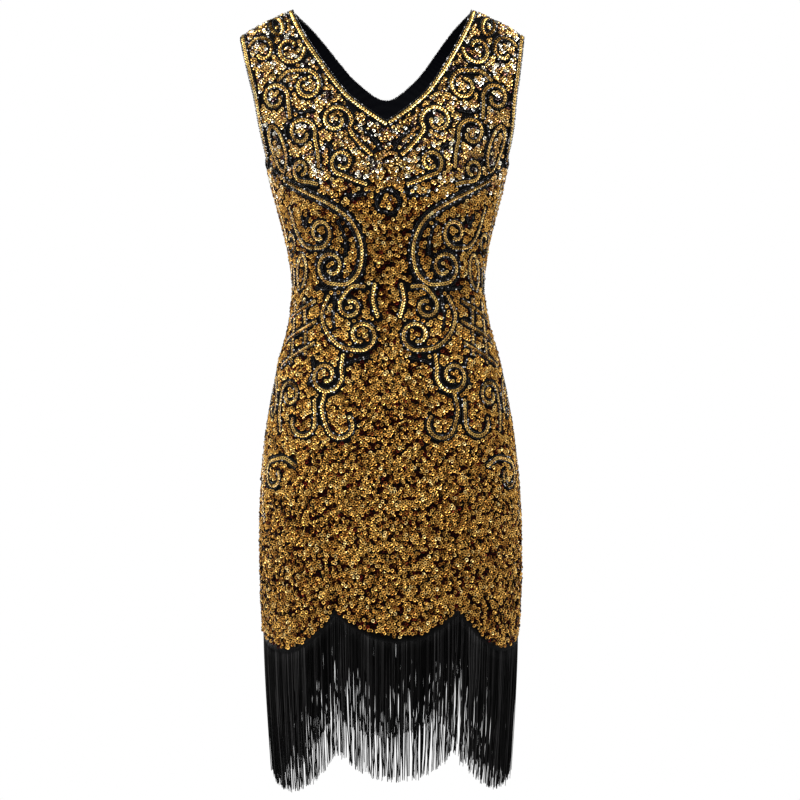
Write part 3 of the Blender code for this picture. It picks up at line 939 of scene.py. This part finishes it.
maps = {side: ClothMap(side) for side in SIDES}
for side in SIDES:
    for hand in (-1, 1):
        sew_scroll(side, scroll_line(LYRE, *LYRE_END), hand, beads=LYRE_BEADS)
        for row in SCROLLS:
            sew_scroll(side, scroll_line(*row), hand)
        for row in LEAVES:
            sew_scroll(side, leaf_line(*row), hand)
        for row in TRELLIS:
            sew_scroll(side, curve_through(row, 40), hand)
        for row in BEAD_VEINS:
            sew_scroll(side, curve_through(row), hand, chain=False, beads=VEIN_BEADS)
        sew_scroll(side, curve_through(MEDALLION), hand, chain=False, beads=MEDALLION_BEADS)

# The chained sequins lie back on one another, and those along the edges are the palest
CHAIN_TILT_DEG, CHAIN_TILT_SPREAD_DEG, CHAIN_WOBBLE, CHAIN_LIFT = 9.0, 4.0, 0.05, 0.0006
EDGE_TONE, SCROLL_TONE, CHAIN_TONE_SPREAD = 0.58, 0.40, 0.22
BEAD_ROOM, BEAD_SPACING, BEAD_WANDER = 0.0030, 0.0015, 0.00012
for side in SIDES:
    for first, last, name, tone in (
        (0, edge_rows[side], side + "_edge_sequins", EDGE_TONE),
        (edge_rows[side], None, side + "_scroll_sequins", SCROLL_TONE),
    ):
        place, normal, along = joined(sewn_chain[side][first:last])
        tilt = np.radians(CHAIN_TILT_DEG + rng.normal(0.0, CHAIN_TILT_SPREAD_DEG, len(place)))[:, None]
        wobble = rng.normal(0.0, CHAIN_WOBBLE, place.shape)
        turns = frames_from(unit(normal * np.cos(tilt) - along * np.sin(tilt) + wobble), along)
        tones = np.clip(rng.normal(tone, CHAIN_TONE_SPREAD, len(place)), 0, 1)
        chain = sew_on(name, chain_sequin, place + normal * CHAIN_LIFT, turns, tones, CHAIN_GOLD)
        if first == 0:
            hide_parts("neck_trim_" + side, "armhole_trim_left", "armhole_trim_right")
    place, normal, along = joined(sewn_beads[side])
    keep = clear_of(place, chain_places(side), BEAD_ROOM)
    keep[keep] = thinned(place[keep], BEAD_SPACING)
    place, normal, along = place[keep], normal[keep], along[keep]
    beads = sew_on(
        side + "_beads", bead, place + rng.normal(0.0, BEAD_WANDER, place.shape),
        frames_from(normal, along), rng.random(len(place)), BEAD_BLACK,
    )
    sewn_beads[side] = place


# Field of sequins: every part of the cloth between the rows is covered with gold cup sequins,
# 5 mm across. They overlap, tilt at random and are sewn through the hole, so dark gaps and holes
# show between the bright rims, and painted shade darkens each rim round its hole and at its edge.
FIELD_TONES = (
    (0.00, 0.020, 0.003, 0.002),
    (0.07, 0.095, 0.009, 0.005),
    (0.12, 0.170, 0.052, 0.010),
    (0.42, 0.420, 0.196, 0.036),
    (0.82, 0.780, 0.446, 0.104),
    (1.00, 0.960, 0.740, 0.320),
)
# The yoke's tones: the same gold painted lighter, as light falls on the chest, and near white at the top as
# painted glints
YOKE_TONES_PAINTED_LIT = (
    (0.00, 0.024, 0.004, 0.002),
    (0.07, 0.100, 0.014, 0.006),
    (0.12, 0.200, 0.080, 0.018),
    (0.42, 0.500, 0.245, 0.045),
    (0.82, 0.780, 0.470, 0.120),
    (0.90, 0.920, 0.720, 0.340),
    (1.00, 1.000, 0.930, 0.740),
)
FIELD_GOLD = sequin_gold("Gold sequin field", FIELD_TONES, roughness=0.40, hole=0.42, coat=0.0)
YOKE_GOLD_PAINTED_LIT = sequin_gold("Gold sequin yoke painted lit", YOKE_TONES_PAINTED_LIT, roughness=0.26, hole=0.36, coat=1.0)
YOKE_FOOT = -0.225
FIELD_ZONES = (
    ("yoke", YOKE_FOOT, 1.0, YOKE_GOLD_PAINTED_LIT),
    ("waist", -0.470, YOKE_FOOT, FIELD_GOLD),
    ("skirt", -1.0, -0.470, FIELD_GOLD),
)
ZONE_BLEND = 0.014  # how far the kinds of sequin mix at the foot of the yoke
PAINTED_GLINT_SHARE = 0.14  # of the yoke's sequins, those given the palest tone as a painted glint
# Dark sequins: their share everywhere, what the middle adds as painted shade so that the sides
# read lighter, and what waves across, along and up the cloth, per metre, add or take off to gather
# them in loose clumps
DARK_SHARE, DARK_IN_CLUMPS, DARK_LIMITS, DARKENING = 0.07, 0.15, (0.03, 0.55), 0.7
MIDDLE_PAINTED_SHADE = {"yoke": 0.04, "below": 0.12}
CLUMPS = ((310.0, 90.0, 170.0, 0.0), (-190.0, 90.0, 260.0, 1.3), (120.0, 90.0, -330.0, 2.1))
FIELD_WIDTH, FIELD_DISH = 0.0050, 0.0007
FIELD_ROOM = (0.0078, 0.0072, 0.0012)  # room left to the neck, the armholes and the hem
NEAR_SCROLLS, CHAIN_ROOM = 0.0150, 0.0062
LATTICE_COLUMNS = (
    "zone", "step_across", "step_up", "wander", "slant_deg", "lean_deg", "spread_deg", "lift_spread"
)
LATTICES = (
    ("plain", 0.0043, 0.0041, 0.00072, 0.0, 3.0, 19.0, 0.0008),
    ("rows", 0.0034, 0.0045, 0.00055, -28.0, 22.0, 11.0, 0.0002),
)
FIELD_LIFT, FIELD_TILT_DEG = 0.0004, 5.0
LATTICE_REACH = 1.1  # each lattice is laid out over a square this wide, then cut to the panel
LATTICE_START, LATTICE_MIDDLE = -0.3, 0.5
LEAST_ACROSS, MOST_ACROSS = 0.0006, 0.26
TONE_SHAPE = (2.6, 2.0)  # of the beta distribution that the tones are drawn from
field_sequin = dished_sequin("field_sequin", FIELD_WIDTH / 2, FIELD_DISH)


def sequin_lattice(finder, step_across, step_up, wander, slant):
    """Levels and angles of offset slanting rows of sequins over the whole panel."""
    half_count = int(LATTICE_REACH / step_up / 2)
    row = np.arange(-half_count, half_count + 1)
    column = np.arange(0, int(LATTICE_REACH / step_across))
    row, column = (grid.reshape(-1) for grid in np.meshgrid(row, column, indexing="ij"))
    u = (column + 0.5 * (row % 2)) * step_across + LATTICE_START
    v = row * step_up
    across = u * math.cos(slant) - v * math.sin(slant)
    climb = LATTICE_MIDDLE + u * math.sin(slant) + v * math.cos(slant)
    good = (across > LEAST_ACROSS) & (across < MOST_ACROSS)
    good &= (climb > 0.0) & (climb < finder.climb[-1])
    across, climb = across[good], climb[good]
    across = np.concatenate((across, -across))
    climb = np.concatenate((climb, climb))
    across = across + rng.normal(0.0, wander, len(across))
    climb = climb + rng.normal(0.0, wander, len(climb))
    level = np.minimum(np.interp(climb, finder.climb, finder.levels), -0.0004)
    return level, finder.angle(level, across)


for side in SIDES:
    all_chain = chain_places(side)
    found = []
    for row in LATTICES:
        lattice = dict(zip(LATTICE_COLUMNS, row))
        slant = math.radians(lattice["slant_deg"])
        level, angle = sequin_lattice(
            maps[side], lattice["step_across"], lattice["step_up"], lattice["wander"], slant
        )
        good = on_panel(side, level, angle, FIELD_ROOM)
        level, angle = level[good], angle[good]
        place, normal = cloth(side, level, angle), outward(side, level, angle)
        far = clear_of(place, all_chain, NEAR_SCROLLS)
        keep = far if lattice["zone"] == "plain" else ~far
        keep &= clear_of(place, all_chain, CHAIN_ROOM) & clear_of(place, sewn_beads[side], BEAD_ROOM)
        place, normal, angle = place[keep], normal[keep], angle[keep]
        upward = unit(np.array((0.0, 0.0, 1.0)) - normal * normal[:, 2:3])
        across = np.cross(normal, upward) * np.sign(angle)[:, None] * FACING[side]
        count = len(place)
        tilt = np.radians(rng.normal(0.0, lattice["spread_deg"], (count, 2)))
        tilt += np.radians((FIELD_TILT_DEG, lattice["lean_deg"]))
        over = across * math.cos(slant) + upward * math.sin(slant)
        lean = unit(normal + upward * np.tan(tilt[:, :1]) + over * np.tan(tilt[:, 1:]))
        spin = rng.random(count) * math.pi
        along = upward * np.cos(spin)[:, None] + across * np.sin(spin)[:, None]
        lift = (FIELD_LIFT + lattice["lift_spread"] * rng.random(count))[:, None]
        clump = sum(np.sin(place @ np.array(wave[:3]) + wave[3]) for wave in CLUMPS)
        # Painted shade: more dark sequins towards the middle of each panel, so the sides look lighter
        middle = np.where(place[:, 2] > YOKE_FOOT, MIDDLE_PAINTED_SHADE["yoke"], MIDDLE_PAINTED_SHADE["below"])
        dark = np.clip(DARK_SHARE + middle * np.cos(angle) ** 2 + DARK_IN_CLUMPS * clump, *DARK_LIMITS)
        tones = np.clip(rng.beta(*TONE_SHAPE, count) - DARKENING * (rng.random(count) < dark), 0.0, 1.0)
        found.append((place + normal * lift, frames_from(lean, along), tones))
    place, turns, tones = joined(found)
    height = place[:, 2] + rng.normal(0.0, ZONE_BLEND, len(place))
    # Painted glints: some of the yoke's sequins take the palest tone
    tones[(height > YOKE_FOOT) & (rng.random(len(place)) < PAINTED_GLINT_SHARE)] = 1.0
    for zone, low, high, gold in FIELD_ZONES:
        part = (height >= low) & (height < high)
        field = sew_on(side + "_sequins_" + zone, field_sequin, place[part], turns[part], tones[part], gold)


# Fringe: black rayon strands hanging from a narrow heading tape sewn under the scalloped edge.
# They hang straight, draw in a little at the foot and gather into uneven bunches.
FRINGE_BLACK = black_cloth(
    "Black rayon", dark=(0.0001, 0.0001, 0.0001, 1), light=(0.035, 0.034, 0.034, 1),
    roughness=0.42, loops=2600.0, bump=0.3, gloss=0.06, by_strand=True,
)
HEM_LEVEL = -0.790
TAPE_WALL, TAPE_EDGE_TUCK, TAPE_STEPS = 0.0012, 0.0006, 181
TAPE_DROPS = (-0.0015, 0.0012, 0.0038, 0.0065)  # below the edge of the cloth, down the tape
FRINGE_LENGTH, FRINGE_DRAW_IN, FRINGE_RAGGED = 0.178, 0.0120, 0.0005
LENGTH_SPREAD, SHORT_SHARE, SHORTER_BY = 0.008, 0.14, 0.009
STRANDS, STRAND_STEPS, STRAND_SIDES, STRAND_RADIUS, STRAND_TAPER = 640, 10, 3, 0.00080, 0.50
ROOT_DROP, ROOT_TUCK, LAYER_STEP = 0.002, 0.0006, 0.0010
SIDE_STRANDS = 0.55  # strands per length at the side seams, as a share of those at the middle
BUNCH_CHANCE, BUNCH_PULL, BUNCH_PULL_SPREAD, BUNCH_CURVE = 0.27, 0.76, 0.20, 2.4
WANDER, WANDER_SPAN, LOOSE = 0.0006, 41, 0.0016
SWING, SWING_PHASE, SWING_RUN = 0.0008, 6.28, 9.0
DRAW_IN_CURVE, STRAND_TONE_CURVE = 1.3, 4.0


def away_at_hem(side, angle):
    """Level directions away from the body at the hem."""
    away = outward(side, np.full_like(angle, HEM_LEVEL), angle)
    return unit(away * np.array((1.0, 1.0, 0.0)))


def heading_tape(name, side, run, fine):
    """The narrow tape under the scalloped edge that the strands hang from."""
    angle = np.interp(np.linspace(0.0, run[-1], TAPE_STEPS), run, fine)
    edge = cloth(side, hem_height(side, angle), angle)
    away = away_at_hem(side, angle)
    rows = []
    for drop in TAPE_DROPS:
        tuck = TAPE_EDGE_TUCK if drop in (TAPE_DROPS[0], TAPE_DROPS[-1]) else 0.0
        rows.append(edge - np.array((0.0, 0.0, drop)) - away * tuck)
    wide = TAPE_STEPS
    faces = [
        (r * wide + j, r * wide + j + 1, (r + 1) * wide + j + 1, (r + 1) * wide + j)
        for r in range(len(TAPE_DROPS) - 1) for j in range(wide - 1)
    ]
    tape = open_sheet(name, side, np.concatenate(rows).tolist(), faces)
    give_wall(tape, TAPE_WALL)
    return tape


def strand_faces(rings, sides):
    """Triangles of one closed strand, from ring to ring, with a cap at each end."""
    faces = []
    for k in range(rings - 1):
        for corner in range(sides):
            a, b = k * sides + corner, k * sides + (corner + 1) % sides
            faces += [(a, b, b + sides), (a, b + sides, a + sides)]
    last = rings * sides
    return np.array(faces + [(0, 2, 1), (last - 3, last - 2, last - 1)])


for side in SIDES:
    fine = np.linspace(-math.pi / 2, math.pi / 2, 801)
    hem_line = cloth(side, np.full_like(fine, HEM_LEVEL), fine)
    run = run_along(hem_line)
    tape = heading_tape(side + "_heading_tape", side, run, fine)
    tape.data.materials.append(FRINGE_BLACK)
    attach(tape, "root")

    # Roots along the edge, sparser at the side seams, and the bunch that each strand is drawn to
    at = (np.arange(STRANDS) + 0.5 + rng.normal(0.0, 0.3, STRANDS)) / STRANDS
    sparser = np.cumsum(SIDE_STRANDS + (1.0 - SIDE_STRANDS) * np.sqrt(np.maximum(np.cos(fine), 0.0)))
    at = np.interp(np.clip(at, 0.001, 0.999) * sparser[-1], sparser, run)
    bunch = np.cumsum(rng.random(STRANDS) < BUNCH_CHANCE)
    bunch -= bunch[0]
    centre = np.array([at[bunch == b].mean() for b in range(bunch.max() + 1)])[bunch]
    pull = np.clip(rng.normal(BUNCH_PULL, BUNCH_PULL_SPREAD, STRANDS), 0.0, 1.0)
    wander = np.cumsum(rng.normal(0.0, 1.0, STRANDS))
    wander = (wander - np.convolve(wander, np.ones(WANDER_SPAN) / WANDER_SPAN, "same")) * WANDER
    length = FRINGE_LENGTH - FRINGE_RAGGED - rng.random(STRANDS) * LENGTH_SPREAD
    length -= (rng.random(STRANDS) < SHORT_SHARE) * SHORTER_BY
    root_angle = np.interp(at, run, fine)
    root_height = hem_height(side, root_angle) - ROOT_DROP
    away = away_at_hem(side, root_angle)
    sideways = np.stack((-away[:, 1], away[:, 0], np.zeros(STRANDS)), axis=-1) * FACING[side]
    root = cloth(side, root_height, root_angle)
    layer = (np.arange(STRANDS) % 2) * LAYER_STEP
    phase, swing = rng.random(STRANDS) * SWING_PHASE, rng.normal(0.0, SWING, STRANDS)
    loose = rng.normal(0.0, LOOSE, STRANDS)

    # Rings of each strand, from its root down
    rings = []
    for step in np.arange(STRAND_STEPS + 1) / STRAND_STEPS:
        shift = (centre - at) * pull * step ** BUNCH_CURVE + wander * step ** 2.0
        shift = shift + swing * np.sin(phase + step * SWING_RUN) * min(1.0, 2.0 * step)
        inward = FRINGE_DRAW_IN * step ** DRAW_IN_CURVE + ROOT_TUCK + layer + loose * step
        middle = root + sideways * shift[:, None] - away * inward[:, None]
        middle[:, 2] = root_height - (length - ROOT_DROP) * step
        radius = STRAND_RADIUS * (1.0 - STRAND_TAPER * step)
        for a in np.arange(STRAND_SIDES) * 2 * math.pi / STRAND_SIDES:
            rings.append(middle + away * (radius * math.cos(a)) + sideways * (radius * math.sin(a)))
    points = np.stack(rings, axis=1)
    per = points.shape[1]
    faces = strand_faces(STRAND_STEPS + 1, STRAND_SIDES)[None] + (np.arange(STRANDS) * per)[:, None, None]
    mesh = bpy.data.meshes.new(side + "_fringe")
    mesh.from_pydata(points.reshape(-1, 3).tolist(), [], faces.reshape(-1, 3).tolist())
    mesh.shade_smooth()
    give_values(mesh, "tone", np.repeat(rng.random(STRANDS) ** STRAND_TONE_CURVE, per))
    strands = add_to_scene(side + "_fringe", mesh)
    pick(strands)
    bpy.ops.object.mode_set(mode="EDIT")
    bpy.ops.mesh.select_all(action="SELECT")
    bpy.ops.mesh.normals_make_consistent(inside=False)
    bpy.ops.object.mode_set(mode="OBJECT")
    strands.select_set(False)
    mesh.materials.append(FRINGE_BLACK)
    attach(strands, "root")
    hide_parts("fringe_" + side)

# The patterns have all been copied, and are taken out of the scene
for pattern in (chain_sequin, bead, field_sequin):
    bpy.data.objects.remove(pattern, do_unlink=True)


# Room: a plain pale floor at the height a wearer would stand on, soft light from boxes in front,
# above and behind, and the camera straight on at mid height as in the photograph.
FLOOR_PALE, floor_tree, floor_shader = new_material("Pale floor", 0.7)
feed_all(floor_tree, floor_shader, {"Base Color": (0.86, 0.86, 0.86, 1)})
bpy.ops.mesh.primitive_plane_add(size=4.0, location=(0.0, 0.0, -1.36))
floor = bpy.context.active_object
floor.name = "floor"
floor.data.materials.append(FLOOR_PALE)
floor.select_set(False)

# Each light is a name, its place, what it is aimed at, its size and its power in watts
LIGHTS = (
    ("key", (-0.6, -1.7, 1.2), (0.0, 0.0, -0.2), 0.6, 44.0),
    ("fill_left", (-2.6, -1.6, -0.2), (0.0, 0.0, -0.5), 1.0, 25.0),
    ("fill_right", (2.4, -2.0, 0.1), (0.0, 0.0, -0.5), 1.0, 26.0),
    ("side_left", (-2.4, 0.3, 0.1), (0.0, 0.0, -0.4), 1.4, 14.0),
    ("side_right", (2.4, 0.3, 0.1), (0.0, 0.0, -0.4), 1.4, 16.0),
    ("top", (0.1, -0.7, 1.6), (0.0, 0.0, -0.2), 1.0, 34.0),
    ("back_key", (1.2, 2.4, 0.9), (0.0, 0.0, -0.4), 1.2, 44.0),
    ("back_fill", (-2.2, 1.8, -0.3), (0.0, 0.0, -0.5), 1.0, 24.0),
)
for name, place, aim, size, power in LIGHTS:
    lamp = bpy.data.lights.new(name, "AREA")
    lamp.shape = "SQUARE"
    lamp.size = size
    lamp.energy = power
    lamp_object = add_to_scene(name, lamp)
    lamp_object.location = place
    lamp_object.rotation_euler = (Vector(aim) - Vector(place)).to_track_quat("-Z", "Y").to_euler()

# The world lights the dress softly, and shows plain white behind it
world = bpy.data.worlds.new("Studio")
world.use_nodes = True
bpy.context.scene.world = world
sky = world.node_tree
soft = sky.nodes["Background"]
feed_all(sky, soft, {"Color": (0.9, 0.93, 1.0, 1), "Strength": 0.22})
seen = new_node(sky, "ShaderNodeBackground", {"Color": (1, 1, 1, 1), "Strength": 1.0})
by_camera = sky.nodes.new("ShaderNodeLightPath").outputs["Is Camera Ray"]
choose = sky.nodes.new("ShaderNodeMixShader")
for socket, value in zip(choose.inputs, (by_camera, soft.outputs[0], seen.outputs[0])):
    feed(sky, socket, value)
feed_all(sky, sky.nodes["World Output"], {"Surface": choose.outputs["Shader"]})
bpy.context.scene.view_settings.view_transform = "Standard"

camera_data = bpy.data.cameras.new("camera")
camera_data.lens = 107.5
camera_data.sensor_width = 36.0
camera = add_to_scene("camera", camera_data)
camera.location = (0.0221, -3.0, -0.4885)
camera.rotation_euler = (math.pi / 2, 0.0, 0.0)
bpy.context.scene.camera = camera
